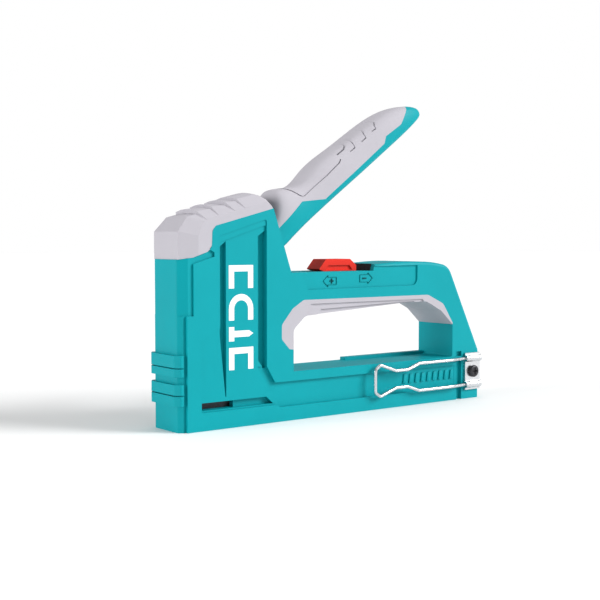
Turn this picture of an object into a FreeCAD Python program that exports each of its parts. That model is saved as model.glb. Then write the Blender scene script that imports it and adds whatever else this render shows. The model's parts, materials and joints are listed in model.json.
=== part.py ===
import FreeCAD, Part
import math
import os
from FreeCAD import Vector

os.makedirs("parts", exist_ok=True)

# Hand staple gun. Millimetres. X runs from the nose to the tail, Z up from the sole,
# Y across, with the belt hook on the -Y side. The origin is the foot of the steel nose plate.

# Overall sizes
body_length = 196.9       # nose face to tail face
body_width = 27.0         # across both shells
tower_height = 104.4      # top corner at the back of the tower, under the cap
bar_top = 73.1            # top of the hand bar beside the slider
crown_rise = 4.8          # crest of the hand bar behind the slider, above bar_top
bar_bottom = 59.4         # underside of the hand bar, above the soft liner
magazine_bar_top = 24.3   # floor of the finger window
handle_length = 124.3     # pivot to tip

# Walls and clearances
wall = 2.4                # plastic shell
recess_depth = 1.1        # shallow panels in the shell sides
ledge_depth = 0.5         # first step down into the tower's side panel
groove_depth = 3.6        # deep grooves each side of the tower's raised plate
bar_panel_depth = 0.8     # panel beside the slider
slide_gap = 0.1           # between flat faces that slide
pin_gap = 0.05            # radial, between a pin and what turns on it
track_room = 0.9          # room in the tower beyond the drive track, each side

# Tower and tail
nose_x = -5.0             # face of the plastic nose
tower_depth = 52.7        # nose face to the top back corner of the tower
tower_foot = 63.5         # nose face to the foot of the tower's back edge
tail_depth = 21.4         # finger window to tail face
tail_corner_height = 27.0
nose_rim_z = 54.0         # step in the nose's side rim
seam_front_z = 80.1       # cap seam at the nose
cap_rise = 8.1            # cap crest above the tower's top corner

# Nose, drive track and hammer
sheet = 1.5               # steel nose plate
blade_thickness = 1.2
crown_width = 10.6        # staple crown, and so the blade
leg_length = 10.0
wire_height = 0.6         # staple wire, up and down
hammer_depth = 7.8
hammer_bottom = 62.0
hammer_height = 17.5
bumper_height = 3.4
blade_rivet_radius = 1.5

# Handle, lever and pivot
pivot_x = 47.2
pivot_drop = 10.1         # pivot below the tower's top corner
handle_rise = 36.4        # degrees above level when open
pin_radius = 2.5
hub_radius = 7.0          # steel lever round the pin
hub_clearance = 1.6       # between the hub and the plastic round it
spacer_radius = 5.0
handle_rivet_radius = 1.8
handle_rivet_reach = 5.0
lever_half = 2.0
lever_tip_radius = 1.7
lever_tip_x = 8.4
lever_tip_drop = 4.0      # lever tip below the hammer's top

# Power spring and its setting
leaf_thickness = 1.4
leaf_width = 9.0
leaf_z = 66.8
leaf_front = 3.2
anchor_radius = 2.0
roller_radius = 1.4
anchor_reach = 6.2        # each way from the spring
slider_front = 82.3
slider_length = 24.8
slider_height = 6.1
slider_half = 5.3
slider_forward = 12.0     # travel towards the nose, more force
slider_back = 5.0         # travel towards the tail, less force

# Magazine
channel_width = 13.4
channel_sheet = 1.0
channel_lift = 0.6        # channel floor above the sole
rail_width = 8.2
strip_length = 50.0
pusher_length = 12.0
rod_radius = 1.5
rod_z = 14.8
plug_length = 14.0
tunnel_height = 18.2

# Belt hook
hook_wire = 0.9           # radius
hook_high = 22.8
hook_low = 8.1
hook_front = 111.1
hook_standoff = 1.9       # loop clear of the shell
plate_length = 11.7
plate_thickness = 1.2
screw_radius = 1.5

# Places that follow from the sizes above
half = body_width / 2
inside = half - wall
narrow_half = channel_width / 2 + track_room
screw_end = narrow_half - slide_gap          # hook screw stops short of the magazine plug
tail_x = nose_x + body_length
tower_back_x = nose_x + tower_depth
tower_foot_x = nose_x + tower_foot
window_rear = tail_x - tail_depth
window_front = tower_foot_x + 1.3
pivot_z = tower_height - pivot_drop
front_face = sheet / 2                      # back of the nose plate
blade_front = front_face + slide_gap
blade_back = blade_front + blade_thickness
track_back = blade_back + slide_gap
hammer_back = track_back + hammer_depth
channel_floor = channel_lift + channel_sheet
crown_top = channel_floor + 0.2 + leg_length
anchor_x = window_rear - 27.0
plug_front = tail_x - plug_length
plate_front = tail_x - 0.6 - plate_length
plate_middle = (hook_high + hook_low) / 2
handle_half = inside - 0.5
slider_rear = slider_front + slider_length
pocket_rear = slider_rear + slider_back + 0.4
slot_half = slider_half - 1.7
crest_z = bar_top + crown_rise
lever_tip_z = hammer_bottom + hammer_height - lever_tip_drop
hub_room = hub_radius + hub_clearance


# Outlines ---------------------------------------------------------------------------------

def on_side(u, v):
    return Vector(u, 0, v)


def on_plan(u, v):
    return Vector(u, v, 0)


def across(u, v):
    return Vector(0, u, v)


def bend(before, here, after, radius):
    """Start, middle and end of the arc that rounds one corner."""
    back = (before - here).normalize()
    onward = (after - here).normalize()
    half_angle = back.getAngle(onward) / 2
    reach = radius / math.tan(half_angle)
    bisector = (back + onward).normalize()
    centre = here + bisector * (radius / math.sin(half_angle))
    return here + back * reach, centre - bisector * radius, here + onward * reach


def joined(stations):
    """Arcs at the stations that have three points, and straight runs between them."""
    edges = []
    for first, second in stations:
        if len(first) == 3:
            edges.append(Part.Arc(*first).toShape())
        if second and first[-1].distanceToPoint(second[0]) > 1e-6:
            edges.append(Part.makeLine(first[-1], second[0]))
    return Part.Wire(edges)


def face_of(corners, place):
    """Closed face through the corners; a corner's third number is its rounding radius."""
    points = [place(c[0], c[1]) for c in corners]
    stations = []
    for i, corner in enumerate(corners):
        if len(corner) == 3:
            stations.append(bend(points[i - 1], points[i], points[(i + 1) % len(points)], corner[2]))
        else:
            stations.append((points[i],))
    following = stations[1:] + stations[:1]
    return Part.Face(joined(list(zip(stations, following))))


def route_wire(points, radius):
    """Open wire through the points, with the same bend radius at every inner one."""
    stations = [(points[0],)]
    for i in range(1, len(points) - 1):
        stations.append(bend(points[i - 1], points[i], points[i + 1], radius))
    stations.append((points[-1],))
    following = stations[1:] + [None]
    return joined(list(zip(stations, following)))


def side_slab(corners, y_low, y_high):
    face = face_of(corners, on_side)
    face.translate(Vector(0, y_low, 0))
    return face.extrude(Vector(0, y_high - y_low, 0))


def plan_slab(corners, z_low, z_high):
    face = face_of(corners, on_plan)
    face.translate(Vector(0, 0, z_low))
    return face.extrude(Vector(0, 0, z_high - z_low))


def cross_slab(corners, x_low, x_high, climb=0.0):
    """Section across the body pushed along X; climb is its rise over the whole length."""
    face = face_of(corners, across)
    face.translate(Vector(x_low, 0, 0))
    return face.extrude(Vector(x_high - x_low, 0, climb))


def block(x_low, x_high, y_low, y_high, z_low, z_high):
    corner = Vector(x_low, y_low, z_low)
    return Part.makeBox(x_high - x_low, y_high - y_low, z_high - z_low, corner)


def centred_block(x_low, x_high, half_width, z_low, z_high):
    return block(x_low, x_high, -half_width, half_width, z_low, z_high)


def cross_pin(x, z, radius, y_low, y_high):
    return Part.makeCylinder(radius, y_high - y_low, Vector(x, y_low, z), Vector(0, 1, 0))


def long_pin(y, z, radius, x_low, x_high):
    return Part.makeCylinder(radius, x_high - x_low, Vector(x_low, y, z), Vector(1, 0, 0))


def mirrored(shape):
    return shape.mirror(Vector(0, 0, 0), Vector(0, 1, 0))


def rounded(shape, radius, chosen):
    """The shape with a fillet on every edge that the test picks."""
    return shape.makeFillet(radius, [e for e in shape.Edges if chosen(e)])


def fused(shapes):
    return shapes[0].fuse(shapes[1:]).removeSplitter()


def save(name, shape):
    solids = shape.Solids
    if not shape.isValid() or not solids:
        raise ValueError(name + " is not a sound solid")
    Part.makeCompound(solids).exportStep("parts/" + name + ".step")
    print(f"{name:20s} solids {len(solids)}  volume {shape.Volume / 1000:8.3f} cm3")


def anchor_pin():
    """Upright pin through the rear of the power spring, seated in the shells above and below."""
    height = anchor_reach * 2
    return Part.makeCylinder(anchor_radius, height, Vector(anchor_x, 0, leaf_z - anchor_reach))


# Body shells ------------------------------------------------------------------------------

cap_seam = [
    (nose_x, seam_front_z),
    (nose_x + 7.2, seam_front_z + 0.9),
    (nose_x + 9.5, seam_front_z + 1.8),
    (nose_x + 15.3, seam_front_z + 4.1, 1.5),
    (nose_x + 17.1, seam_front_z + 6.4, 1.5),
    (nose_x + 17.4, tower_height - 11.0, 1.5),
    (nose_x + 19.4, tower_height - 8.6),
    (tower_back_x, tower_height),
]
body_outline = [
    (nose_x, 0),
    (tail_x, 0, 1.5),
    (tail_x, tail_corner_height, 3.0),
    (tail_x - 24.0, crest_z - 2.9, 9.0),
    (tail_x - 36.0, crest_z - 0.7, 70.0),
    (tail_x - 57.0, crest_z, 150.0),
    (pocket_rear + 1.1, crest_z - 1.4),
    (pocket_rear, bar_top),
    (tower_foot_x, bar_top),
] + cap_seam[::-1]
window_outline = [
    (window_front, magazine_bar_top),
    (window_rear, magazine_bar_top, 1.5),
    (window_rear, bar_bottom - 17.0),
    (window_rear - 9.0, bar_bottom - 9.0, 6.0),
    (window_rear - 20.0, bar_bottom - 3.6, 6.0),
    (window_front + 79.0, bar_bottom - 3.6),
    (window_front + 7.2, bar_bottom - 8.1, 4.0),
    (window_front, bar_bottom - 14.4, 4.0),
]
liner_outline = [
    (window_front, bar_bottom - 24.3),
    (window_front - 2.5, bar_bottom - 24.0, 1.0),
    (window_front - 7.2, bar_bottom - 18.9, 2.0),
    (window_front - 7.2, bar_bottom - 11.7, 3.0),
    (window_front - 0.5, bar_bottom - 4.0, 3.0),
    (window_front + 6.3, bar_bottom, 3.0),
    (window_rear - 18.9, bar_bottom, 5.0),
    (window_rear - 7.4, bar_bottom - 5.2, 5.0),
    (window_rear, bar_bottom - 16.0),
    (window_rear, bar_bottom - 17.9),
    (window_rear - 10.0, bar_bottom - 20.0),
    (window_front + 20.0, bar_bottom - 24.3),
]


def nose_plan(rim_x, shoulder_x, shoulder_y):
    """Half of the body seen from above: flat nose, chamfered corner, step out to the side rim."""
    return [
        (nose_x, 0),
        (nose_x, half - 3.6, 1.0),
        (shoulder_x, shoulder_y),
        (rim_x, shoulder_y),
        (rim_x, half),
        (tail_x, half, 2.0),
        (tail_x, 0),
    ]


rib_heights = [(12.6, 17.1), (17.7, 22.5), (26.1, 29.8), (30.4, 36.0)]
screw_places = [
    (tower_foot_x - 8.5, 31.0),
    (tower_foot_x - 9.0, bar_bottom - 5.4),
    (window_rear - 8.0, bar_bottom + 7.6),
    (window_rear + 8.5, 38.0),
]
plate_left = nose_x + 25.6
panel_right = nose_x + 48.6
vent_rear = nose_x + 31.0
vent_low = 9.4
vent_high = 13.0
strip_depth = 1.0         # sunk strip between the nose's corner and the side rim
top_round = 1.9           # along the crest of the hand bar and down the tail


def side_panels():
    """Everything sunk into the outer side of one shell, as seen on the +Y side."""
    outside = half + 1
    floor = half - recess_depth
    deep = half - groove_depth
    tower_left = nose_x + 20.7
    band_top = 19.6
    band_low = 7.2
    band_rear = window_rear + 3.1

    def tower_panel(drop, inset):
        return [
            (nose_x + 11.2, 8.6),
            (nose_x + 11.2, 41.9),
            (tower_left + inset, 47.7),
            (tower_left + inset, tower_height - 13.6 - drop, 1.0),
            (panel_right, tower_height - 5.2 - drop, 1.0),
            (panel_right, 27.9),
            (nose_x + 53.6, band_top),
            (band_rear, band_top),
            (band_rear, band_low),
            (nose_x + 57.0, band_low),
            (nose_x + 54.0, 8.6),
        ]

    ledge = side_slab(tower_panel(0, 0), half - ledge_depth, outside)
    panel = side_slab(tower_panel(2.8, 1.2), floor, outside)
    band = side_slab([
        (panel_right - 5.0, 27.9),
        (panel_right, 27.9),
        (nose_x + 53.6, band_top),
        (band_rear, band_top),
        (band_rear, band_low),
        (nose_x + 57.0, band_low),
    ], floor - 0.7, outside)
    left_groove = side_slab([
        (plate_left - 0.5, 15.0),
        (plate_left, 15.0),
        (plate_left, tower_height - 15.8),
        (tower_left + 1.2, tower_height - 18.6),
        (tower_left + 1.2, 45.0),
    ], deep, outside)
    right_groove = side_slab([
        (panel_right - 1.4, 27.0),
        (panel_right, 27.0),
        (panel_right, tower_height - 10.4),
        (panel_right - 4.6, tower_height - 13.4),
        (panel_right - 4.6, 31.0),
    ], deep, outside)
    foot_slope = side_slab([
        (vent_rear, vent_low),
        (nose_x + 53.0, vent_low),
        (nose_x + 49.0, vent_high),
        (vent_rear, vent_high),
    ], deep, outside)
    vent = block(nose_x + 11.2, vent_rear, channel_width / 2, outside, vent_low, vent_high)
    seam_step = side_slab([
        (nose_x + 7.1, seam_front_z - 2.0),
        (nose_x + 18.6, seam_front_z + 1.3),
        (nose_x + 18.6, seam_front_z + 3.2),
        (nose_x + 13.0, seam_front_z + 6.5),
        (nose_x + 7.1, seam_front_z + 6.5),
    ], half - strip_depth, outside)
    bar_panel = side_slab([
        (tower_foot_x + 6.7, bar_top + 2.3),
        (tower_foot_x + 6.7, bar_top + 0.7),
        (tower_foot_x + 10.3, bar_top - 8.8),
        (window_rear - 27.0, bar_top - 8.3, 4.0),
        (window_rear - 27.0, bar_top + 2.5),
    ], half - bar_panel_depth, outside)
    tail_groove = block(band_rear, band_rear + 4.1, floor - 0.6, outside, -1, band_top + 2.0)
    tail_notch = block(band_rear, band_rear + 4.1, floor - 0.6, outside, 24.3, 27.0)
    return [
        ledge, panel, band, left_groove, right_groove, foot_slope, vent, seam_step,
        bar_panel, tail_groove, tail_notch,
    ]


def cavities():
    """Hollow space inside the half at +Y, from the mid-plane outwards."""
    drive = block(-front_face, track_back + sheet, 0, channel_width / 2, -1, hammer_bottom - bumper_height)
    hammer_room = side_slab([
        (-front_face, hammer_bottom - bumper_height),
        (hammer_back + 1.5, hammer_bottom - bumper_height),
        (tower_back_x - 1.7, bar_top - 3.5),
        (tower_back_x - 1.7, tower_height + 20),
        (-front_face, tower_height + 20),
    ], 0, narrow_half)
    belly = side_slab([
        (track_back + sheet + 2.0, tunnel_height + wall),
        (plate_left, tunnel_height + wall),
        (tower_back_x - 6.0, tunnel_height + wall, 2.0),
        (tower_back_x - 6.0, bar_bottom - 1.0, 2.0),
        (track_back + sheet + 2.0, bar_bottom - 5.0),
    ], 0, narrow_half)
    root_room = side_slab([
        (tower_back_x - 1.7, bar_top + 0.2),
        (tower_foot_x + 20, bar_top + 0.2),
        (tower_back_x + 20, tower_height + 20),
        (tower_back_x - 1.7, tower_height + 20),
    ], 0, inside)
    leaf_room = block(hammer_back, anchor_x + 6.0, 0, leaf_width / 2 + 0.6, bar_bottom + wall, bar_top - wall)
    slot_front = slider_front - slider_forward + 2.5
    slider_slot = block(slot_front, pocket_rear, 0, slot_half + slide_gap, bar_top - wall - 1, bar_top + 5)
    tunnel = block(track_back, tail_x + 1, 0, channel_width / 2 + slide_gap, -1, tunnel_height)
    tail_room = side_slab([
        (window_rear + wall, tunnel_height + 4.0),
        (tail_x - wall, tunnel_height + 4.0),
        (tail_x - wall, tail_corner_height),
        (tail_x - 12.0, bar_top - 26.0),
        (window_rear + wall, bar_top - 26.0),
    ], 0, inside)
    return [drive, hammer_room, belly, root_room, leaf_room, slider_slot, tunnel, tail_room]


def half_shell():
    """The shell at +Y, without the details that differ between the two sides."""
    low = plan_slab(nose_plan(nose_x + 3.6, nose_x + 2.1, half - 1.5), 0, nose_rim_z)
    high_plan = nose_plan(nose_x + 7.2, nose_x + 4.6, half - strip_depth)
    high = plan_slab(high_plan, nose_rim_z, tower_height + 20)
    body = side_slab(body_outline, 0, half).common(fused([low, high]))
    top_edges = [
        e for e in body.Edges
        if e.BoundBox.YMin > half - 0.01 and e.BoundBox.XMin > pocket_rear + 0.6 and e.BoundBox.ZMax > 30
    ]
    body = body.makeFillet(top_round, top_edges)
    body = body.cut([side_slab(window_outline, -1, half + 1), side_slab(liner_outline, -1, half + 1)])
    body = body.cut(side_panels())
    ribs = []
    for low_z, high_z in rib_heights:
        plan = [
            (nose_x - 1.9, 0),
            (nose_x - 1.9, half - 3.2, 1.5),
            (nose_x + 0.2, half - 0.3, 1.0),
            (nose_x + 1.8, half - 0.3),
            (nose_x + 1.8, 0),
        ]
        ribs.append(plan_slab(plan, low_z, high_z))
    body = fused([body] + ribs)
    body = body.cut(cavities())
    posts = []
    for x, z in screw_places:
        posts.append(cross_pin(x, z, 3.6, 0, inside + 0.5))
    post_room = side_slab(body_outline, 0, half).cut(side_slab(liner_outline, -1, half + 1))
    body = fused([body, Part.makeCompound(posts).common(post_room)])
    pin_seat = cross_pin(pivot_x, pivot_z, pin_radius, 0, inside + 1.2)
    anchor_seat = anchor_pin()
    return body.cut([pin_seat, anchor_seat])


def make_shells():
    base = half_shell()
    cores = [cross_pin(x, z, screw_radius, 0, inside - 1.0) for x, z in screw_places]
    hook_hole = cross_pin(plate_front + plate_length / 2, plate_middle, screw_radius, -half - 1, 0.2 - screw_end)
    left = mirrored(base).cut([mirrored(core) for core in cores] + [hook_hole])
    holes = []
    for x, z in screw_places:
        holes.append(cross_pin(x, z, screw_radius + 0.15, 0, half + 1))
        holes.append(cross_pin(x, z, screw_radius * 2 + 0.2, half - 2.6, half + 1))
    rest_x = window_front + 52.0
    rest = block(rest_x, window_rear + 1, half - 4.2, half, magazine_bar_top - 1, magazine_bar_top + 1.6)
    right = fused([base, rest]).cut(holes)
    save("left_shell", left)
    save("right_shell", right)


# Nose cap and window liner ----------------------------------------------------------------

cap_slope = 0.263
cap_back_x = tower_back_x + 3.1
crest_x = tower_back_x - 9.5
cap_top = tower_height + cap_rise


def crown_slab(x_low, x_high, lift):
    """Crowned bar that follows the slope of the cap's top."""
    height = cap_top + lift - (crest_x - x_low) * cap_slope
    section = [
        (-half, height - 45),
        (-half, height - 5.0, 4.0),
        (-half + 6.5, height, 9.0),
        (half - 6.5, height, 9.0),
        (half, height - 5.0, 4.0),
        (half, height - 45),
    ]
    return cross_slab(section, x_low, x_high, (x_high - x_low) * cap_slope)


def make_cap():
    front_top = cap_top - (crest_x - nose_x - 8.0) * cap_slope
    outline = cap_seam + [
        (cap_back_x, cap_top - 2.6, 1.0),
        (crest_x, cap_top + 2.0, 6.0),
        (nose_x + 8.0, front_top + 2.0, 1.0),
        (nose_x + 3.0, front_top - 3.0, 2.0),
        (nose_x, seam_front_z + 13.3, 1.0),
    ]
    plan = [
        (nose_x, half - 3.6, 1.0),
        (nose_x + 9.5, half),
        (cap_back_x + 1, half),
        (cap_back_x + 1, -half),
        (nose_x + 9.5, -half),
        (nose_x, 3.6 - half, 1.0),
    ]
    block_out = side_slab(outline, -half, half).common(plan_slab(plan, seam_front_z - 5, cap_top + 10))
    ridges = [crown_slab(nose_x - 1, cap_back_x + 1, 0)]
    for x in (nose_x + 10.0, nose_x + 17.5, nose_x + 25.0, nose_x + 32.5):
        ridges.append(crown_slab(x, x + 5.2, 1.1))
    cap = block_out.common(fused(ridges))
    hollow = crown_slab(-front_face, crest_x + 4.0, -1.9)
    sides = centred_block(-front_face, cap_back_x + 2, inside, seam_front_z - 5, cap_top + 10)
    root_room = centred_block(tower_back_x - 1.7, cap_back_x + 2, inside, seam_front_z, tower_height + 2.2)
    cap = cap.cut([hollow.common(sides), root_room])
    save("nose_cap", cap)


def make_liner():
    liner = side_slab(liner_outline, -half, half).cut(side_slab(window_outline, -half - 1, half + 1))
    below = centred_block(window_front - 0.01, window_rear + 1, half + 1, 0, bar_bottom - 17.9)
    liner = liner.cut(below)
    save("window_liner", liner)


# Nose plate, drive track, hammer ----------------------------------------------------------

def make_drive():
    track_half = channel_width / 2
    plate = centred_block(-front_face, front_face, track_half, 0, hammer_bottom + 6)
    plate = rounded(plate, 2.0, lambda e: e.BoundBox.ZMin > hammer_bottom and e.BoundBox.YLength < 0.01)
    save("nose_plate", plate)

    guide = centred_block(track_back, track_back + sheet, track_half, crown_top + 0.4, hammer_bottom - bumper_height)
    save("blade_guide", guide)

    bumper = centred_block(track_back, hammer_back + 1.4, 6.4, hammer_bottom - bumper_height, hammer_bottom)
    save("hammer_bumper", rounded(bumper, 0.8, lambda e: abs(e.BoundBox.ZLength - bumper_height) < 0.01))

    blade_top = hammer_bottom + hammer_height - 1.0
    blade = centred_block(blade_front, blade_back, crown_width / 2, 0.4, blade_top)
    rivet_heights = (hammer_bottom + 2.0, leaf_z + 4.2)
    rivets = [long_pin(0, z, blade_rivet_radius, blade_front, hammer_back) for z in rivet_heights]

    hammer = centred_block(blade_back, hammer_back, crown_width / 2, hammer_bottom, hammer_bottom + hammer_height)
    hammer = rounded(hammer, 1.0, lambda e: abs(e.BoundBox.ZLength - hammer_height) < 0.01)
    leaf_slot = block(track_back + 0.5, hammer_back + 1, -leaf_width / 2 - 0.3, leaf_width / 2 + 0.3,
                      leaf_z - leaf_thickness / 2 - 0.3, leaf_z + leaf_thickness / 2 + 0.3)
    slot_reach = lever_tip_radius + 0.5
    slot_end = hammer_back + 1
    rise_start = lever_tip_x - lever_tip_radius
    arm_climb = (pivot_z - lever_tip_z) / (pivot_x - lever_tip_x) * (slot_end - rise_start)
    lever_slot = side_slab([
        (blade_back, lever_tip_z - slot_reach),
        (slot_end, lever_tip_z - slot_reach),
        (slot_end, lever_tip_z + slot_reach + arm_climb),
        (rise_start, lever_tip_z + slot_reach),
        (blade_back, lever_tip_z + slot_reach),
    ], -lever_half - 0.4, lever_half + 0.4)
    save("hammer", hammer.cut([leaf_slot, lever_slot] + rivets))
    save("driver_blade", blade.cut(rivets))
    save("blade_rivets", Part.makeCompound(rivets))


# Handle -----------------------------------------------------------------------------------

rise = math.radians(handle_rise)


def along_handle(distance, offset, y=0.0):
    """Point at a distance from the pivot along the open handle, and offset up from its line."""
    x = pivot_x + distance * math.cos(rise) - offset * math.sin(rise)
    z = pivot_z + distance * math.sin(rise) + offset * math.cos(rise)
    return Vector(x, y, z)


# Distance from the pivot as a share of the length, underside, top, and half width. The first
# section leans with the back of the tower, so that the root stays inside the shells.
root_lean = 6.5
handle_sections = [
    (0.040, -13.4, 6.5, 0.96),
    (0.113, -13.4, 9.2, 0.98),
    (0.177, -13.1, 9.0, 0.96),
    (0.230, -13.0, 5.6, 0.92),
    (0.340, -13.0, 6.2, 0.92),
    (0.515, -13.0, 5.7, 0.99),
    (0.690, -13.0, 4.5, 1.00),
    (0.850, -13.0, 1.7, 0.94),
    (0.930, -12.9, -2.2, 0.78),
    (0.980, -12.5, -6.8, 0.52),
    (1.000, -11.8, -9.4, 0.26),
]


def handle_section(distance, low, high, half_width, lean):
    """Closed smooth section, flat below and crowned on top; lean shifts its underside forward."""
    middle = (low + high) / 2
    reach = (high - low) / 2
    points = []
    for step in range(20):
        angle = 2 * math.pi * (step + 0.5) / 20
        across_share = math.copysign(abs(math.cos(angle)) ** 0.55, math.cos(angle))
        power = 0.62 if math.sin(angle) > 0 else 0.38
        up_share = math.copysign(abs(math.sin(angle)) ** power, math.sin(angle))
        place = distance - lean * (1 - up_share) / 2
        points.append(along_handle(place, middle + reach * up_share, half_width * across_share))
    curve = Part.BSplineCurve()
    curve.interpolate(Points=points, PeriodicFlag=True)
    return Part.Wire(curve.toShape())


def handle_form():
    sections = []
    for i, (share, low, high, width_share) in enumerate(handle_sections):
        lean = root_lean if i == 0 else 0.0
        sections.append(handle_section(share * handle_length, low, high, width_share * handle_half, lean))
    return Part.makeLoft(sections, True, False)


def handle_side(pairs, half_width):
    """Slab whose outline is given along the handle, as distance and offset pairs."""
    points = [along_handle(distance, offset, -half_width) for distance, offset in pairs]
    face = Part.Face(Part.makePolygon(points + [points[0]]))
    return face.extrude(Vector(0, 2 * half_width, 0))


def make_handle():
    form = handle_form()
    length = handle_length
    parting = [
        (-0.10 * length, -5.7),
        (0.20 * length, -1.0),
        (0.306 * length, -8.8),
        (0.70 * length, -7.8),
        (0.725 * length, -5.2),
        (0.83 * length, -6.2),
        (0.885 * length, -3.6),
        (0.96 * length, -0.5),
        (1.02 * length, 2.0),
    ]
    below = handle_side(parting + [(1.1 * length, -30), (-0.10 * length, -30)], half + 5)
    lower = form.common(below)
    upper = form.cut(below)

    tip = Vector(lever_tip_x, 0, lever_tip_z)
    hub = Vector(pivot_x, 0, pivot_z)
    arm = (hub - tip).normalize()
    square = Vector(-arm.z, 0, arm.x)
    arm_outline = [
        tip + square * lever_tip_radius,
        tip + square * lever_tip_radius + arm * 9.0,
        hub + square * hub_radius,
        hub - square * hub_radius,
        hub - square * hub_radius - arm * hub_radius * 2,
        tip - square * lever_tip_radius + arm * 9.0,
        tip - square * lever_tip_radius,
    ]
    arm_face = Part.Face(Part.makePolygon(arm_outline + [arm_outline[0]]))
    arm_face.translate(Vector(0, -lever_half, 0))
    front_arm = arm_face.extrude(Vector(0, 2 * lever_half, 0))
    blank = [
        (0, 6.5),
        (0.15 * length, 1.5),
        (0.52 * length, -3.5),
        (0.52 * length, -9.5),
        (0.10 * length, -10.0),
        (0, -6.5),
    ]
    lever = fused([
        front_arm,
        handle_side(blank, lever_half),
        cross_pin(hub.x, hub.z, hub_radius, -lever_half, lever_half),
        cross_pin(tip.x, tip.z, lever_tip_radius, -lever_half, lever_half),
    ])
    pocket = handle_side(blank, lever_half)
    cheek_y = narrow_half + slide_gap
    hub_space = cross_pin(hub.x, hub.z, hub_room, -cheek_y, cheek_y)
    bore = cross_pin(hub.x, hub.z, pin_radius + pin_gap, -half, half)
    rivets = []
    for share in (0.24, 0.44):
        place = along_handle(share * length, -6.4)
        rivets.append(cross_pin(place.x, place.z, handle_rivet_radius, -handle_rivet_reach, handle_rivet_reach))
    save("handle_lever", lever.cut([bore] + rivets))
    save("handle_body", lower.cut([pocket, hub_space, bore] + rivets))
    save("handle_grip", upper.cut([pocket, hub_space, bore] + rivets))
    save("handle_rivets", Part.makeCompound(rivets))

    pin = cross_pin(hub.x, hub.z, pin_radius, -inside - 1.2, inside + 1.2)
    save("handle_pin", pin)
    spacer = cross_pin(hub.x, hub.z, spacer_radius, slide_gap - narrow_half, -lever_half - slide_gap)
    save("pivot_spacer", spacer.cut(cross_pin(hub.x, hub.z, pin_radius, -half, half)))
    save("return_spring", torsion_spring(hub))


def torsion_spring(hub):
    """Coil round the pivot pin with a short straight leg at each end."""
    coil_radius = pin_radius + 2.1
    wire_radius = 0.5
    pitch = 1.3
    turns = 3
    leg = 4.6
    start_y = lever_half + wire_radius + 0.3
    coil = Part.makeHelix(pitch, pitch * turns, coil_radius)
    profile = Part.Wire(Part.makeCircle(wire_radius, Vector(coil_radius, 0, 0), Vector(0, 1, 0)))
    spring = Part.Wire(coil.Edges).makePipeShell([profile], True, True)
    first = Part.makeCylinder(wire_radius, leg, Vector(coil_radius, 0, 0), Vector(0, -1, 0))
    second = Part.makeCylinder(wire_radius, leg, Vector(coil_radius, 0, pitch * turns), Vector(0, 1, 0))
    spring = fused([spring, first, second])
    spring.rotate(Vector(0, 0, 0), Vector(1, 0, 0), -90)
    spring.translate(Vector(hub.x, start_y, hub.z))
    return spring


# Power spring and slider ------------------------------------------------------------------

def make_power_spring():
    rear = anchor_x + 5.0
    low = leaf_z - leaf_thickness / 2
    leaf = centred_block(leaf_front, rear, leaf_width / 2, low, low + leaf_thickness)
    helper = centred_block(tower_back_x, rear, leaf_width / 2, low - leaf_thickness, low)
    save("power_leaf", leaf.cut(anchor_pin()))
    save("helper_leaf", helper.cut(anchor_pin()))
    save("spring_anchor_pin", anchor_pin())


def make_slider():
    base_z = bar_top + slide_gap
    top_z = base_z + slider_height
    knob = side_slab([
        (slider_front, base_z + 0.9, 0.3),
        (slider_front + 3.0, base_z),
        (slider_rear, base_z),
        (slider_rear, base_z + 2.8, 0.6),
        (slider_rear - 4.1, top_z, 0.8),
        (slider_front + 4.6, top_z, 0.6),
    ], -slider_half, slider_half)
    side_notch = side_slab([
        (slider_front + 4.3, base_z + 0.5),
        (slider_rear - 2.6, base_z + 0.5),
        (slider_rear - 4.6, base_z + 2.9, 0.6),
        (slider_front + 6.2, base_z + 2.9, 0.6),
    ], -slider_half - 1, -slider_half + 0.9)
    stem = centred_block(slider_front + 3, slider_rear - 3, slot_half, bar_top - wall - 1.0, base_z + 1)
    foot_x = slider_front + slider_length / 2
    foot_z = leaf_z + leaf_thickness / 2 + slide_gap + roller_radius
    roller = cross_pin(foot_x, foot_z, roller_radius, -leaf_width / 2, leaf_width / 2)
    cradle = centred_block(foot_x - 3.0, foot_x + 3.0, slot_half, foot_z, bar_top - wall)
    slider = fused([knob.cut([side_notch, mirrored(side_notch)]), stem, cradle])
    save("force_slider", slider.cut(roller))
    save("fulcrum_roller", roller)


# Magazine ---------------------------------------------------------------------------------

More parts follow.
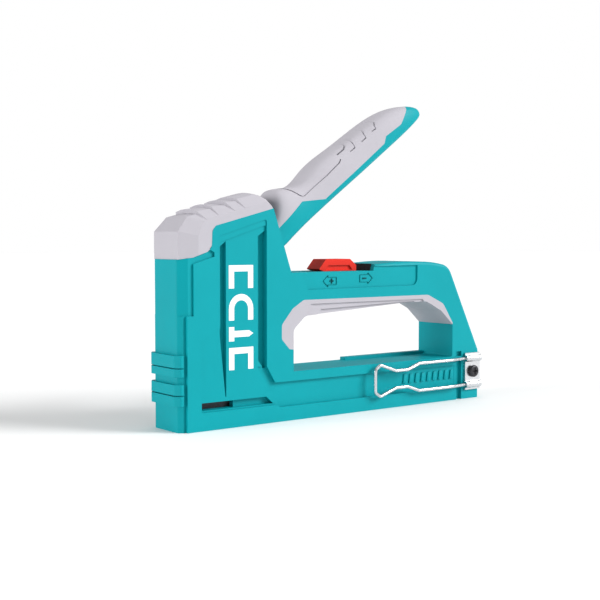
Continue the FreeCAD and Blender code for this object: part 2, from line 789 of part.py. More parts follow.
def make_magazine():
    outer = channel_width / 2
    rear = plug_front - 1.0
    channel = centred_block(track_back, rear, outer, channel_lift, vent_high + 0.8)
    hollow = centred_block(track_back - 1, rear + 1, outer - channel_sheet, channel_floor, tunnel_height)
    guide_end = track_back + sheet + slide_gap
    guide_notch = centred_block(track_back - 1, guide_end, half, crown_top + 0.2, tunnel_height)
    channel = channel.cut([hollow, guide_notch])
    save("magazine_channel", channel)

    rail_top = crown_top - wire_height - 0.2
    rail = centred_block(track_back + 0.6, rear - 2.0, rail_width / 2, channel_floor, rail_top)
    rail = rail.cut(centred_block(track_back + 2.0, rear, rail_width / 2 - 1.2, channel_floor - 1, rail_top - 1.2))
    save("staple_rail", rail)

    strip_end = track_back + strip_length
    strip = centred_block(track_back, strip_end, crown_width / 2, channel_floor + 0.2, crown_top)
    strip = strip.cut(centred_block(track_back - 1, strip_end + 1, crown_width / 2 - 0.6,
                                    channel_floor, crown_top - wire_height))
    save("staple_strip", strip)

    pusher_rear = strip_end + pusher_length
    pusher = centred_block(strip_end, pusher_rear, crown_width / 2, channel_floor + 0.4, rod_z + 2.9)
    saddle = centred_block(strip_end - 1, pusher_rear + 1, rail_width / 2 + slide_gap, 0, rail_top + slide_gap)
    rod_hole = long_pin(0, rod_z, rod_radius + pin_gap, strip_end - 1, pusher_rear + 1)
    save("pusher", pusher.cut([saddle, rod_hole]))

    rod = long_pin(0, rod_z, rod_radius, track_back + 10.0, plug_front + 5.0)
    clip = long_pin(0, rod_z, rod_radius + 1.0, track_back + 11.0, track_back + 12.0)
    clip = clip.cut(long_pin(0, rod_z, rod_radius, track_back + 10.0, track_back + 13.0))
    save("pusher_rod", rod)
    save("rod_clip", clip)
    save("pusher_spring", pusher_coil(pusher_rear + 0.5, plug_front - 0.5))

    plug = centred_block(plug_front, tail_x, outer - slide_gap, 1.2, tunnel_height - 0.3)
    tab_room = centred_block(plug_front + 6.0, tail_x + 1, 4.2, rod_z - 0.2, tunnel_height + 1)
    pull = centred_block(tail_x, tail_x + 2.6, outer - 2.0, 3.0, 7.0)
    grip_cuts = [centred_block(tail_x - 0.8, tail_x + 1, outer - 1.5, z, z + 1.0) for z in (8.6, 10.6)]
    plug = fused([plug, pull]).cut([tab_room, rod] + grip_cuts)
    save("magazine_plug", plug)
    tab = centred_block(plug_front + 6.2, tail_x + 1.6, 4.0, rod_z + 1.8, tunnel_height - 0.3)
    save("release_tab", tab)


def pusher_coil(x_low, x_high):
    """Compression spring on the pusher rod."""
    wire_radius = 0.35
    coil_radius = rod_radius + wire_radius + 0.25
    pitch = 4.0
    coil = Part.makeHelix(pitch, x_high - x_low, coil_radius)
    coil.rotate(Vector(0, 0, 0), Vector(0, 1, 0), 90)
    coil.translate(Vector(x_low, 0, rod_z))
    profile_centre = Vector(x_low, 0, rod_z - coil_radius)
    profile = Part.Wire(Part.makeCircle(wire_radius, profile_centre, Vector(pitch, 2 * math.pi * coil_radius, 0)))
    return Part.Wire(coil.Edges).makePipeShell([profile], True, True)


# Fasteners and belt hook ------------------------------------------------------------------

def make_screws():
    screws = []
    for x, z in screw_places:
        shank = cross_pin(x, z, screw_radius, -inside + 1.0, half - 2.6)
        head = cross_pin(x, z, screw_radius * 2, half - 2.6, half - 0.6)
        screws.append(fused([shank, head]))
    save("body_screws", Part.makeCompound(screws))


def wire_along(points, bend_radius):
    path = route_wire(points, bend_radius)
    start = points[0]
    circle = Part.Wire(Part.makeCircle(hook_wire, start, points[1] - start))
    return path.makePipeShell([circle], True, True)


def make_hook():
    rest_y = -half - hook_wire
    loop_y = -half - hook_standoff - hook_wire
    middle = plate_middle
    arm = (hook_high - hook_low) / 2

    def at(x, spread, y):
        return Vector(x, y, middle + spread)

    upper = [
        at(plate_front - 0.2, arm, rest_y),
        at(plate_front - 12.0, arm, loop_y),
        at(hook_front + 31.5, arm, loop_y),
        at(hook_front + 23.0, arm - 2.8, loop_y),
        at(hook_front + 14.5, arm - 2.8, loop_y),
        at(hook_front + 3.5, arm + 0.9, loop_y),
        at(hook_front, arm - 1.4, loop_y),
    ]
    lower = [Vector(p.x, p.y, 2 * middle - p.z) for p in reversed(upper)]
    save("belt_hook_wire", wire_along(upper + lower, 1.9))
    ends = []
    for z in (hook_low, hook_high):
        ends.append(long_pin(rest_y, z, hook_wire, plate_front, tail_x + 0.4))
    save("belt_hook_ends", Part.makeCompound(ends))

    plate_rear = plate_front + plate_length
    outer = hook_wire + plate_thickness
    flat = block(plate_front, plate_rear, -half - plate_thickness, -half, hook_low - 3.0, hook_high + 3.0)
    ribs = [long_pin(rest_y, z, outer, plate_front, plate_rear) for z in (hook_low, hook_high)]
    behind = block(plate_front - 1, plate_rear + 1, -half, half, 0, 40)
    screw_x = (plate_front + plate_rear) / 2
    hole = cross_pin(screw_x, middle, screw_radius + 0.1, -half - 5, half)
    seats = []
    for z in (hook_low, hook_high):
        seats.append(long_pin(rest_y, z, hook_wire, plate_front - 1, plate_rear + 1))
        seats.append(block(plate_front - 1, plate_rear + 1, rest_y, -half + 1, z - hook_wire, z + hook_wire))
    save("hook_plate", fused([flat] + ribs).cut([fused([behind] + seats), hole]))

    head_low = -half - plate_thickness
    head = cross_pin(screw_x, middle, 3.4, head_low - 2.0, head_low)
    shank = cross_pin(screw_x, middle, screw_radius, head_low, -screw_end)
    screw = rounded(fused([shank, head]), 1.0, lambda e: abs(e.BoundBox.YMin - head_low + 2.0) < 0.01
                    and abs(e.BoundBox.YMax - head_low + 2.0) < 0.01)
    cross = [
        centred_cross(screw_x, middle, 4.0, 0.8, head_low - 2.1, head_low - 0.9),
        centred_cross(screw_x, middle, 0.8, 4.0, head_low - 2.1, head_low - 0.9),
    ]
    save("hook_screw", screw.cut(cross))


def centred_cross(x, z, long_x, long_z, y_low, y_high):
    return block(x - long_x / 2, x + long_x / 2, y_low, y_high, z - long_z / 2, z + long_z / 2)


make_shells()
make_cap()
make_liner()
make_drive()
make_handle()
make_power_spring()
make_slider()
make_magazine()
make_screws()
make_hook()
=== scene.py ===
import json
import math

import bmesh
import bpy
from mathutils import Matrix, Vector


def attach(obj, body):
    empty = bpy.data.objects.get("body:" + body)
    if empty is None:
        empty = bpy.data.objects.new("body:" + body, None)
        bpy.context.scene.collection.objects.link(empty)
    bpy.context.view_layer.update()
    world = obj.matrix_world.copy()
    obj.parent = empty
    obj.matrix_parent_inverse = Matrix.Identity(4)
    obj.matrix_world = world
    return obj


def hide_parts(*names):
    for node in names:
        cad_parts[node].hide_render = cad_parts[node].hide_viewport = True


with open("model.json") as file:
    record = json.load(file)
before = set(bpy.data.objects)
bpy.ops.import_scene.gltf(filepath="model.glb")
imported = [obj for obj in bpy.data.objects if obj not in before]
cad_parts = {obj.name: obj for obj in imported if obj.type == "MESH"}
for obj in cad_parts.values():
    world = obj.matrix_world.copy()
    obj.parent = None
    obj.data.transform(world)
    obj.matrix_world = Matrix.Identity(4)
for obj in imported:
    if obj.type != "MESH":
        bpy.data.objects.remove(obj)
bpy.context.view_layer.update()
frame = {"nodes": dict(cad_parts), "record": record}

nodes = frame["nodes"]


# Body halves and lower handle: teal glass-filled nylon, injection moulded with a fine spark
# texture. The halves meet on the mid-plane and are held by four screws; the frame has them.
class Socket:
    """One output of a shader node, ready for arithmetic."""

    def __init__(self, finish, socket):
        self.finish = finish
        self.socket = socket

    def maths(self, operation, first, second):
        return self.finish.node("ShaderNodeMath", {"operation": operation}, {0: first, 1: second})

    def __add__(self, other):
        return self.maths("ADD", self, other)

    __radd__ = __add__

    def __mul__(self, other):
        return self.maths("MULTIPLY", self, other)

    __rmul__ = __mul__


class Finish:
    """A Principled shader whose grain is worked out from Object coordinates."""

    def __init__(self, name, metallic=0.0):
        self.material = bpy.data.materials.new(name)
        self.material.use_nodes = True
        self.tree = self.material.node_tree
        self.shader = self.tree.nodes["Principled BSDF"]
        self.shader.inputs["Metallic"].default_value = metallic
        self.place = self.node("ShaderNodeTexCoord", {}, {}, "Object")

    def feed(self, socket, value):
        if isinstance(value, Socket):
            self.tree.links.new(value.socket, socket)
        else:
            socket.default_value = value

    def node(self, kind, settings, inputs, output=0):
        made = self.tree.nodes.new(kind)
        for name, value in settings.items():
            setattr(made, name, value)
        for key, value in inputs.items():
            self.feed(made.inputs[key], value)
        return Socket(self, made.outputs[output])

    def noise(self, scale, detail=2.0, stretch=(1.0, 1.0, 1.0)):
        spot = self.node("ShaderNodeMapping", {}, {"Vector": self.place, "Scale": stretch})
        return self.node("ShaderNodeTexNoise", {}, {"Vector": spot, "Scale": scale, "Detail": detail})

    def colours(self, share, first, second):
        """Base colour part of the way from one to another. Inputs 6 and 7 of Mix are its colours."""
        pair = {0: share, 6: first + (1.0,), 7: second + (1.0,)}
        mixed = self.node("ShaderNodeMix", {"data_type": "RGBA"}, pair, 2)
        self.feed(self.shader.inputs["Base Color"], mixed)

    def roughness(self, value):
        self.feed(self.shader.inputs["Roughness"], value)

    def bump(self, height, distance, strength=1.0):
        sizes = {"Height": height, "Distance": distance, "Strength": strength}
        self.feed(self.shader.inputs["Normal"], self.node("ShaderNodeBump", {}, sizes))


plastic_glint = 0.12


def moulded_plastic(name, first, second, gloss, grain_depth):
    """Spark-textured injection moulding: a fine grain, and a slow drift of colour and gloss."""
    finish = Finish(name)
    drift = finish.noise(45.0, 3.0)
    grain = finish.noise(2600.0, 2.0)
    finish.colours(drift * 0.8 + grain * 0.2, first, second)
    finish.roughness(drift * 0.12 + grain * 0.08 + gloss)
    finish.bump(grain, grain_depth, 0.5)
    finish.shader.inputs["Specular IOR Level"].default_value = plastic_glint
    return finish.material


finish_of = {}


def give(slot, material):
    """Sets a slot's finish, and puts it on every frame node of that slot."""
    finish_of[slot] = material
    for part in frame["record"]["subparts"]:
        if part["material_slot"] == slot:
            for holder in nodes[part["node"]].material_slots:
                holder.material = material


teal = moulded_plastic("teal_plastic", (0.0, 0.285, 0.325), (0.0, 0.33, 0.375), 0.38, 0.00003)
give("body_plastic", teal)


# Steel works: the nose plate, blade, hammer, lever, pins and rail are ground carbon steel, cut
# from strip or turned. The leaf springs and coils are darker, oil-hardened steel.
streak_depth = 0.00001


def drawn_steel(name, first, second, gloss, streak, along):
    """Metal with fine streaks along its drawing or rolling direction."""
    finish = Finish(name, 1.0)
    lines = finish.noise(streak, 3.0, along)
    cloud = finish.noise(70.0, 3.0)
    finish.colours(lines * 0.6 + cloud * 0.4, first, second)
    finish.roughness(lines * 0.15 + cloud * 0.1 + gloss)
    finish.bump(lines, streak_depth, 0.4)
    return finish.material


steel_along = (0.05, 1.0, 1.0)
ground = drawn_steel("ground_steel", (0.38, 0.39, 0.41), (0.62, 0.63, 0.66), 0.22, 2600.0, steel_along)
oiled = drawn_steel("oiled_steel", (0.10, 0.10, 0.12), (0.30, 0.30, 0.34), 0.26, 1800.0, steel_along)
give("plain_steel", ground)
give("spring_steel", oiled)


# Screws and magazine channel: black-oxide finish, dull with a slight mottling. The screws are
# pan heads with a cross recess; the channel is folded sheet and shows through the nose vent.
unstretched = (1.0, 1.0, 1.0)
black_oxide = drawn_steel("black_oxide", (0.02, 0.02, 0.022), (0.09, 0.09, 0.10), 0.3, 700.0, unstretched)
give("black_screw", black_oxide)
for holder in nodes["magazine_channel"].material_slots:
    holder.material = black_oxide


# Staple strip: zinc-coated wire crowns glued side by side into a stick, which the pusher moves forward
# along the rail. Each wire shows as a low ridge with a spangled coat, and painted shade darkens the
# valleys between the wires.
wire_half_pitch = 0.00065


def galvanised_stack():
    """Zinc-coated staple wires glued side by side, each 1.3 mm pitch line a shallow valley; the colour
    darkens towards each valley as painted shade.
    """
    finish = Finish("galvanised_wire", 1.0)
    along = finish.node("ShaderNodeSeparateXYZ", {}, {"Vector": finish.place}, "X")
    ridge = finish.node("ShaderNodeMath", {"operation": "PINGPONG"}, {0: along, 1: wire_half_pitch})
    wire_relief_and_shade = ridge * (1 / wire_half_pitch)
    spangle = finish.noise(350.0, 1.0)
    # Painted shade: the zinc colour goes from light on each wire's crown to dark in the valley between
    # wires.
    finish.colours(wire_relief_and_shade * 0.7 + spangle * 0.3, (0.35, 0.36, 0.38), (0.80, 0.81, 0.84))
    finish.roughness(spangle * 0.2 + 0.22)
    finish.bump(wire_relief_and_shade, 0.0002, 0.8)
    return finish.material


give("staple_wire", galvanised_stack())


# Bumper, spacer and rear pull: a black rubber pad stops the hammer; the spacer, plug and release
# tab are black acetal, moulded with a fine grain and pressed or clipped in place.
black_plastic = moulded_plastic("black_plastic", (0.012, 0.012, 0.014), (0.03, 0.03, 0.034), 0.4, 0.00003)
black_rubber = moulded_plastic("black_rubber", (0.01, 0.01, 0.01), (0.024, 0.024, 0.024), 0.6, 0.00006)
give("dark_plastic", black_plastic)
give("bumper_rubber", black_rubber)


# Belt hook: one bent spring wire, clamped to the tail by a folded plate with two half-round
# ribs and a screw. Wire and plate are nickel plated, with faint drawing lines.
nickel = drawn_steel("nickel_plate", (0.50, 0.51, 0.53), (0.80, 0.81, 0.83), 0.14, 900.0, steel_along)
give("bright_steel", nickel)


# Force slider: a red acetal knob on the hand bar, moulded with a smooth satin face and a
# finger recess in each side. It carries the fulcrum roller under the power spring.
signal_red = moulded_plastic("signal_red", (0.72, 0.025, 0.015), (0.80, 0.04, 0.025), 0.25, 0.00001)
give("slider_plastic", signal_red)


# Window liner: a soft grey overmould round the upper part of the finger window. An outer
# band frames two panels that step inwards towards the opening.
soft_grey = moulded_plastic("soft_grey", (0.42, 0.405, 0.445), (0.475, 0.46, 0.50), 0.52, 0.00005)
give("soft_grip", soft_grey)


millimetre = 0.001
body_half = 13.5
tool_reach = 16.0


def copied(node):
    """A frame node's mesh with its loose triangles joined."""
    mesh = bmesh.new()
    mesh.from_mesh(nodes[node].data)
    bmesh.ops.remove_doubles(mesh, verts=mesh.verts, dist=1e-6)
    return mesh


def as_object(mesh, name):
    data = bpy.data.meshes.new(name)
    mesh.to_mesh(data)
    mesh.free()
    thing = bpy.data.objects.new(name, data)
    bpy.context.collection.objects.link(thing)
    return thing


def cut(thing, tool, how="DIFFERENCE"):
    """The first shape less the second, or only what both share; the second is used up."""
    step = thing.modifiers.new("cut", "BOOLEAN")
    step.object = tool
    step.operation = how
    step.solver = "EXACT"
    graph = bpy.context.evaluated_depsgraph_get()
    result = bpy.data.meshes.new_from_object(thing.evaluated_get(graph))
    thing.modifiers.clear()
    thing.data = result
    bpy.data.objects.remove(tool)


def in_metres(mesh):
    """Turns the faces of a closed mesh outwards and scales it from millimetres."""
    bmesh.ops.recalc_face_normals(mesh, faces=mesh.faces)
    bmesh.ops.scale(mesh, verts=mesh.verts, vec=(millimetre, millimetre, millimetre))
    return mesh


def raised(mesh, faces, height):
    """Makes flat faces a solid, by extruding them along Y."""
    pushed = bmesh.ops.extrude_face_region(mesh, geom=faces)["geom"]
    tops = [part for part in pushed if isinstance(part, bmesh.types.BMVert)]
    bmesh.ops.translate(mesh, verts=tops, vec=(0, height, 0))
    return in_metres(mesh)


def slab(outline, near, far):
    """Plate with an outline in side view, from one Y to another, in millimetres."""
    mesh = bmesh.new()
    face = mesh.faces.new([mesh.verts.new((x, near, z)) for x, z in outline])
    return raised(mesh, [face], far - near)


def finished(thing, body, slot, replaced=(), crease=32):
    """Gives a piece its finish, smooth shading between its creases, and its place in the frame."""
    thing.data.materials.clear()
    thing.data.materials.append(finish_of[slot])
    for face in thing.data.polygons:
        face.material_index = 0
    if "custom_normal" in thing.data.attributes:
        thing.data.attributes.remove(thing.data.attributes["custom_normal"])
    thing.data.shade_smooth()
    thing.data.set_sharp_from_angle(angle=math.radians(crease))
    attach(thing, body)
    if replaced:
        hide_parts(*replaced)
    return thing


liner = as_object(copied("window_liner"), "window_liner_stepped")
outer_panel = [(66.0, 46.9), (70.8, 57.3), (147.3, 57.3), (152.0, 53.0), (152.0, 40.0), (66.0, 40.0)]
inner_panel = [(72.9, 49.0), (78.0, 54.4), (134.4, 56.2), (142.0, 56.2), (142.0, 45.0), (72.9, 45.0)]
for outline, depth in ((outer_panel, 0.9), (inner_panel, 2.0)):
    for side in (-1, 1):
        tool = slab(outline, side * (body_half - depth), side * tool_reach)
        cut(liner, as_object(tool, "panel_tool"))
finished(liner, "frame", "soft_grip", ["window_liner"], 20)


# Nose cap: soft grey plastic over the tower's top, held by the body halves. Its front is cut
# into flat facets, and four stepped scales run back over the crown, swept at the sides.
cap_inside = 11.1
cap_foot = 70.0
hammer_room_half = 7.6
cap_seam = [
    (-5.2, 80.1), (2.2, 81.0), (4.5, 81.9), (9.6, 83.6), (10.9, 84.6), (12.0, 86.0), (12.3, 88.0),
    (12.4, 92.4), (13.0, 94.3), (14.4, 95.8), (47.7, 104.4),
]
# X and Z of each scale's front edge on the crown, X and Z at the side crease, and its step up
scale_steps = [
    (6.5, 102.4, 9.6, 98.6, 1.3),
    (14.4, 104.7, 16.4, 100.5, 0.9),
    (22.5, 106.8, 25.4, 102.8, 1.3),
    (28.8, 108.5, 31.0, 104.3, 0.9),
]


def cap_ring(front, top, edge_half, crease_x, crease_z, crown):
    """Section of the cap: underside, crease, crown edge and crown, from one side to the other."""
    return [
        (crease_x, -body_half, cap_foot),
        (crease_x, -body_half, crease_z),
        (front, -edge_half, top),
        (front, -edge_half * 0.5, top + crown * 0.75),
        (front, 0.0, top + crown),
        (front, edge_half * 0.5, top + crown * 0.75),
        (front, edge_half, top),
        (crease_x, body_half, crease_z),
        (crease_x, body_half, cap_foot),
    ]


def cap_rings():
    rings = [
        cap_ring(-4.6, 70.5, 10.8, 4.8, 70.5, 0.0),
        cap_ring(-4.6, 93.0, 10.8, 4.9, 91.2, 0.0),
        cap_ring(1.3, 99.8, 9.4, 8.0, 97.6, 0.3),
    ]
    for front, top, swept_x, crease_z, step in scale_steps:
        rings.append(cap_ring(front - 0.1, top - step, 9.0, swept_x - 0.2, crease_z - 0.15, 0.7))
        rings.append(cap_ring(front, top, 9.4, swept_x, crease_z, 1.3))
    rings.append(cap_ring(38.4, 110.9, 9.6, 39.5, 106.6, 1.2))
    rings.append(cap_ring(41.5, 110.6, 9.6, 43.6, 107.4, 1.1))
    rings.append(cap_ring(45.9, 108.7, 9.6, 46.6, 105.5, 1.0))
    rings.append(cap_ring(49.0, 105.5, 9.6, 48.2, 103.0, 0.3))
    return rings


def edges_of(made):
    return list({edge for vert in made for edge in vert.link_edges})


def bridged(mesh, rings):
    """Skins rings of edges one after another and closes both ends."""
    for first, second in zip(rings, rings[1:]):
        bmesh.ops.bridge_loops(mesh, edges=first + second)
    bmesh.ops.holes_fill(mesh, edges=rings[0] + rings[-1])


def cap_solid(width_share, drop, shift):
    """The cap's outer form, or with a narrower, lower and set-back form, the room inside it."""
    mesh = bmesh.new()
    loops = []
    for ring in cap_rings():
        made = bmesh.ops.create_circle(mesh, segments=len(ring), radius=1.0)["verts"]
        for vert, (x, y, z) in zip(made, ring):
            vert.co = (x + shift, y * width_share, z - drop)
        loops.append(edges_of(made))
    bridged(mesh, loops)
    bmesh.ops.triangulate(mesh, faces=[face for face in mesh.faces if len(face.verts) > 4])
    return in_metres(mesh)


cap = as_object(cap_solid(1.0, 0.0, 0.0), "nose_cap_faceted")
cut(cap, as_object(cap_solid(cap_inside / body_half, 1.5, 2.6), "room_tool"))
hammer_room = [
    (-0.75, cap_foot), (12.0, cap_foot), (12.0, 102.0), (2.1, 99.3), (0.8, 98.5), (-0.75, 96.2),
]
cut(cap, as_object(slab(hammer_room, -hammer_room_half, hammer_room_half), "hammer_room_tool"))
seam_reach = 20.0
above_seam = cap_seam + [(60.0, 104.4), (60.0, 125.0), (-12.0, 125.0), (-12.0, 80.1)]
cut(cap, as_object(slab(above_seam, -seam_reach, seam_reach), "seam_tool"), "INTERSECT")
root_opening = [(46.0, cap_foot), (60.0, cap_foot), (60.0, 106.2), (46.0, 106.2)]
cut(cap, as_object(slab(root_opening, -cap_inside, cap_inside), "root_tool"))
finished(cap, "frame", "soft_grip", ["nose_cap"], 12)


# Handle: a teal nylon core with a soft grey overmould on its upper half. The overmould has
# thin moulded lines, one along the palm and four scale-shaped ones further along.
pivot = Vector((47.2, 0.0, 94.3))
rise = math.radians(36.4)
handle_length = 124.3
handle_half = 10.6
line_width = 0.65
line_depth = 0.7
line_reach = handle_half + 3
core_segments = 64
top_squareness = 0.62
under_squareness = 0.38
side_squareness = 0.55
# share of the handle's length, underside and top measured from the pivot line, share of its width
handle_sections = [
    (0.04, -13.4, 6.5, 0.96),
    (0.113, -13.4, 9.2, 0.98),
    (0.177, -13.1, 9.0, 0.96),
    (0.23, -13.0, 5.6, 0.92),
    (0.34, -13.0, 6.2, 0.92),
    (0.515, -13.0, 5.7, 0.99),
    (0.69, -13.0, 4.5, 1.0),
    (0.85, -13.0, 1.7, 0.94),
    (0.93, -12.9, -2.2, 0.78),
    (0.98, -12.5, -6.8, 0.52),
]


def along_handle(distance, offset):
    x = pivot.x + distance * math.cos(rise) - offset * math.sin(rise)
    z = pivot.z + distance * math.sin(rise) + offset * math.cos(rise)
    return x, z


def handle_core(shrink):
    """The handle's closed form, drawn in by a skin thickness."""
    mesh = bmesh.new()
    rings = []
    for share, low, high, width_share in handle_sections:
        made = bmesh.ops.create_circle(mesh, segments=core_segments, radius=1.0)["verts"]
        middle_offset = (low + high) / 2
        reach = (high - low) / 2 - shrink
        for step, vert in enumerate(made):
            angle = 2 * math.pi * (step + 0.5) / core_segments
            power = top_squareness if math.sin(angle) > 0 else under_squareness
            up = math.copysign(abs(math.sin(angle)) ** power, math.sin(angle))
            side = math.copysign(abs(math.cos(angle)) ** side_squareness, math.cos(angle))
            x, z = along_handle(share * handle_length, middle_offset + reach * up)
            vert.co = (x, (width_share * handle_half - shrink) * side, z)
        rings.append(edges_of(made))
    bridged(mesh, rings)
    return in_metres(mesh)


def line_slab(route, width):
    """A thin upright plate that follows a line drawn on the handle's side."""
    points = [Vector(along_handle(*spot)) for spot in route]
    left = []
    right = []
    for i, here in enumerate(points):
        before = points[max(i - 1, 0)]
        after = points[min(i + 1, len(points) - 1)]
        run = (after - before).normalized()
        across = Vector((-run.y, run.x)) * width / 2
        left.append(here + across)
        right.append(here - across)
    return slab([tuple(spot) for spot in left + right[::-1]], -line_reach, line_reach)


palm_line = [
    (21.0, 10.5), (22.5, 8.5), (23.7, 6.3), (25.7, 2.0), (26.8, 0.7), (28.3, 0.3), (35.7, 0.4),
    (45.6, 0.4), (56.2, 1.1), (58.0, 2.0),
]
scale_lines = [
    [(58.2, 4.4), (63.7, 4.2), (65.9, 4.7), (67.7, 5.5), (69.5, 5.6), (71.0, 7.5)],
    [(65.3, 1.6), (69.3, 1.5), (70.1, 3.4), (71.1, 4.8), (73.9, 5.4), (75.5, 7.5)],
    [(74.7, 1.5), (78.5, 1.4), (79.3, 3.2), (81.9, 4.7), (83.9, 4.9), (85.5, 7.0)],
    [(84.1, 1.8), (87.2, 1.4), (88.0, 2.7), (90.2, 3.5), (92.0, 5.5)],
]
grip = as_object(copied("handle_grip"), "handle_grip_lined")
for route in [palm_line] + scale_lines:
    tool = as_object(line_slab(route, line_width), "line_tool")
    cut(tool, as_object(handle_core(line_depth), "core_tool"))
    cut(grip, tool)
finished(grip, "handle", "soft_grip", ["handle_grip"], 24)


# Pictograms: white pad-printed shapes on the tower's raised plate, one above another, of the
# fasteners it takes: two flat-crowned staples, a round-crowned cable staple and a brad.
white_ink = moulded_plastic("white_ink", (0.86, 0.86, 0.87), (0.94, 0.94, 0.94), 0.35, 0.000008)
plate_face = 12.4
print_left = 22.2
print_right = 36.2
stroke = 3.0
arc_steps = 12
brad_head_half = 3.4
brad_point = 2.5
ink_thickness = 0.08


def flat_staple(low, high):
    return [
        (print_left, low), (print_left + stroke, low), (print_left + stroke, high - stroke),
        (print_right - stroke, high - stroke), (print_right - stroke, low), (print_right, low),
        (print_right, high), (print_left, high),
    ]


def round_staple(low, high):
    centre = (print_left + print_right) / 2
    outer = (print_right - print_left) / 2
    inner = outer - stroke
    spring_line = high - outer
    outline = [(print_right, low)]
    for step in range(arc_steps + 1):
        angle = math.pi * step / arc_steps
        outline.append((centre + outer * math.cos(angle), spring_line + outer * math.sin(angle)))
    outline.append((print_left, low))
    outline.append((print_left + stroke, low))
    for step in range(arc_steps, -1, -1):
        angle = math.pi * step / arc_steps
        outline.append((centre + inner * math.cos(angle), spring_line + inner * math.sin(angle)))
    outline.append((print_right - stroke, low))
    return outline


def brad(low, high):
    middle_z = (low + high) / 2
    return [
        (print_left, middle_z - brad_head_half), (print_left + stroke, middle_z - brad_head_half),
        (print_left + stroke, middle_z - stroke / 2), (print_right - brad_point, middle_z - stroke / 2),
        (print_right, middle_z), (print_right - brad_point, middle_z + stroke / 2),
        (print_left + stroke, middle_z + stroke / 2), (print_left + stroke, middle_z + brad_head_half),
        (print_left, middle_z + brad_head_half),
    ]


prints = [
    ("print_flat_low", flat_staple(27.4, 38.0)),
    ("print_brad", brad(40.5, 48.5)),
    ("print_round", round_staple(51.0, 63.5)),
    ("print_flat_high", flat_staple(66.2, 77.2)),
]
for name, outline in prints:
    for side, tag in ((-1, "near"), (1, "far")):
        layer = slab(outline, side * plate_face, side * (plate_face + ink_thickness))
        ink = as_object(layer, name + "_" + tag)
        finished(ink, "frame", "body_plastic")
        ink.data.materials[0] = white_ink


# Force marks: an arrow towards the nose holding a plus, and one towards the tail holding a
# minus, moulded in low relief on the hand bar under the slider.
# The marks' dark teal colour is painted shade, standing in for the shadow along their moulded edges.
painted_shade_teal = moulded_plastic("painted_shade_teal", (0.0, 0.045, 0.055), (0.0, 0.07, 0.08), 0.4, 0.00002)
bar_face = 12.7
mark_rise = 0.35
rule = 0.6
sign_half = 1.3


def arrow(x, z, way):
    """Closed arrow outline round a centre, pointing along X."""
    shape = [(-4.3, 0.0), (-1.2, 2.85), (-1.2, 1.9), (4.3, 1.9), (4.3, -1.9), (-1.2, -1.9), (-1.2, -2.85)]
    return [(x - way * u, z + v) for u, v in shape]


def arrow_rim(x, z, way, side):
    mesh = bmesh.new()
    height = side * bar_face
    face = mesh.faces.new([mesh.verts.new((u, height, v)) for u, v in arrow(x, z, way)])
    bmesh.ops.inset_region(mesh, faces=[face], thickness=rule, use_boundary=True, use_even_offset=True)
    bmesh.ops.delete(mesh, geom=[face], context="FACES_ONLY")
    return raised(mesh, list(mesh.faces), side * mark_rise)


def bar_slab(x, z, half_long, half_high, side):
    outline = [
        (x - half_long, z - half_high), (x + half_long, z - half_high),
        (x + half_long, z + half_high), (x - half_long, z + half_high),
    ]
    return slab(outline, side * bar_face, side * (bar_face + mark_rise))


for side, tag in ((-1, "near"), (1, "far")):
    marks = [
        ("arrow_plus_", arrow_rim(83.2, 68.4, -1, side)),
        ("plus_level_", bar_slab(84.4, 68.4, sign_half, rule / 2, side)),
        ("plus_upright_", bar_slab(84.4, 68.4, rule / 2, sign_half, side)),
        ("arrow_minus_", arrow_rim(107.5, 69.3, 1, side)),
        ("minus_level_", bar_slab(106.3, 69.3, sign_half, rule / 2, side)),
    ]
    for name, mesh in marks:
        mark = finished(as_object(mesh, name + tag), "frame", "body_plastic")
        mark.data.materials[0] = painted_shade_teal


# Pocket shade: a thin black plate laid on the end wall of the slider's pocket. It is painted shade,
# standing in for the shadow on that wall and in the slot behind it.
shade_sheet_line = [(112.4, 73.15), (112.7, 73.15), (113.8, 76.7), (113.5, 76.7)]
shade_sheet_half = 10.0
shade_sheet = as_object(slab(shade_sheet_line, -shade_sheet_half, shade_sheet_half), "pocket_wall_shade")
finished(shade_sheet, "frame", "dark_plastic")


# Grip ribs: a row of short upright ribs moulded in the sunk band under the finger window.
first_rib = 134.5
rib_count = 9
rib_pitch = 4.4
rib_foot = 12.0
rib_head = 17.0
rib_rise = 0.7
rib_edge = 0.0002
band_face = 11.7
for side, tag in ((-1, "near"), (1, "far")):
    for count in range(rib_count):
        x = first_rib + count * rib_pitch
        leaning = [(x, rib_foot), (x + 2.2, rib_foot), (x + 2.9, rib_head), (x + 0.7, rib_head)]
        mesh = slab(leaning, side * band_face, side * (band_face + rib_rise))
        bmesh.ops.bevel(mesh, geom=list(mesh.edges), offset=rib_edge, segments=2, affect="EDGES",
                        profile=0.5, material=-1)
        finished(as_object(mesh, "band_rib_" + tag + "_" + str(count + 1)), "frame", "body_plastic")


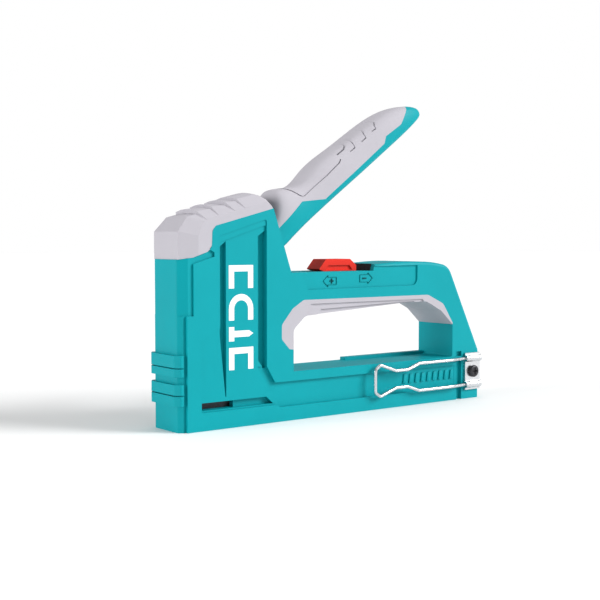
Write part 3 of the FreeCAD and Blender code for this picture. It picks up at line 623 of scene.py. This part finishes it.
# Studio: a flat pale floor in a white surround, and a camera off the nose's near corner, a little
# above the hand bar. The key light comes from the hook side towards the tail, a low fill from the
# nose, and a weak light from above.
eye = Vector((-0.26196, -0.43792, 0.0891))
turn = math.radians(-37.5)
down = math.radians(3.17)
camera = bpy.data.objects.new("camera", bpy.data.cameras.new("camera"))
camera.data.lens = 65.0
camera.data.sensor_width = 36.0
camera.data.clip_start = 0.01
camera.location = eye
camera.rotation_euler = (math.pi / 2 - down, 0, turn)
bpy.context.collection.objects.link(camera)
bpy.context.scene.camera = camera
bpy.context.scene.view_settings.view_transform = "Standard"


sun_width = math.radians(28)
world_light = 0.45
world_seen = 1.0


def soft_sun(name, source, strength):
    """Even light from far off, as wide as a large diffuser; source is the way towards it."""
    lamp = bpy.data.lights.new(name, "SUN")
    lamp.energy = strength
    lamp.angle = sun_width
    holder = bpy.data.objects.new(name, lamp)
    holder.rotation_euler = (-Vector(source)).to_track_quat("-Z", "Y").to_euler()
    bpy.context.collection.objects.link(holder)


soft_sun("key", (0.75, -0.75, 0.6), 3.3)
soft_sun("fill", (-0.9, 0.12, 0.12), 2.2)
soft_sun("top", (0.0, 0.1, 1.0), 0.5)

world = bpy.data.worlds.new("studio")
bpy.context.scene.world = world
world.use_nodes = True
backdrop = world.node_tree.nodes["Background"]
backdrop.inputs["Color"].default_value = (1.0, 1.0, 1.0, 1)
ray = world.node_tree.nodes.new("ShaderNodeLightPath")
level = world.node_tree.nodes.new("ShaderNodeMapRange")
level.inputs["To Min"].default_value = world_light
level.inputs["To Max"].default_value = world_seen
world.node_tree.links.new(ray.outputs["Is Camera Ray"], level.inputs["Value"])
world.node_tree.links.new(level.outputs["Result"], backdrop.inputs["Strength"])

mesh = bmesh.new()
bmesh.ops.create_grid(mesh, x_segments=2, y_segments=2, size=6.0)
floor = bpy.data.objects.new("floor", bpy.data.meshes.new("floor"))
mesh.to_mesh(floor.data)
mesh.free()
bpy.context.collection.objects.link(floor)
pale = bpy.data.materials.new("pale_floor")
pale.use_nodes = True
pale.node_tree.nodes["Principled BSDF"].inputs["Base Color"].default_value = (0.9, 0.9, 0.9, 1)
pale.node_tree.nodes["Principled BSDF"].inputs["Roughness"].default_value = 0.8
floor.data.materials.append(pale)
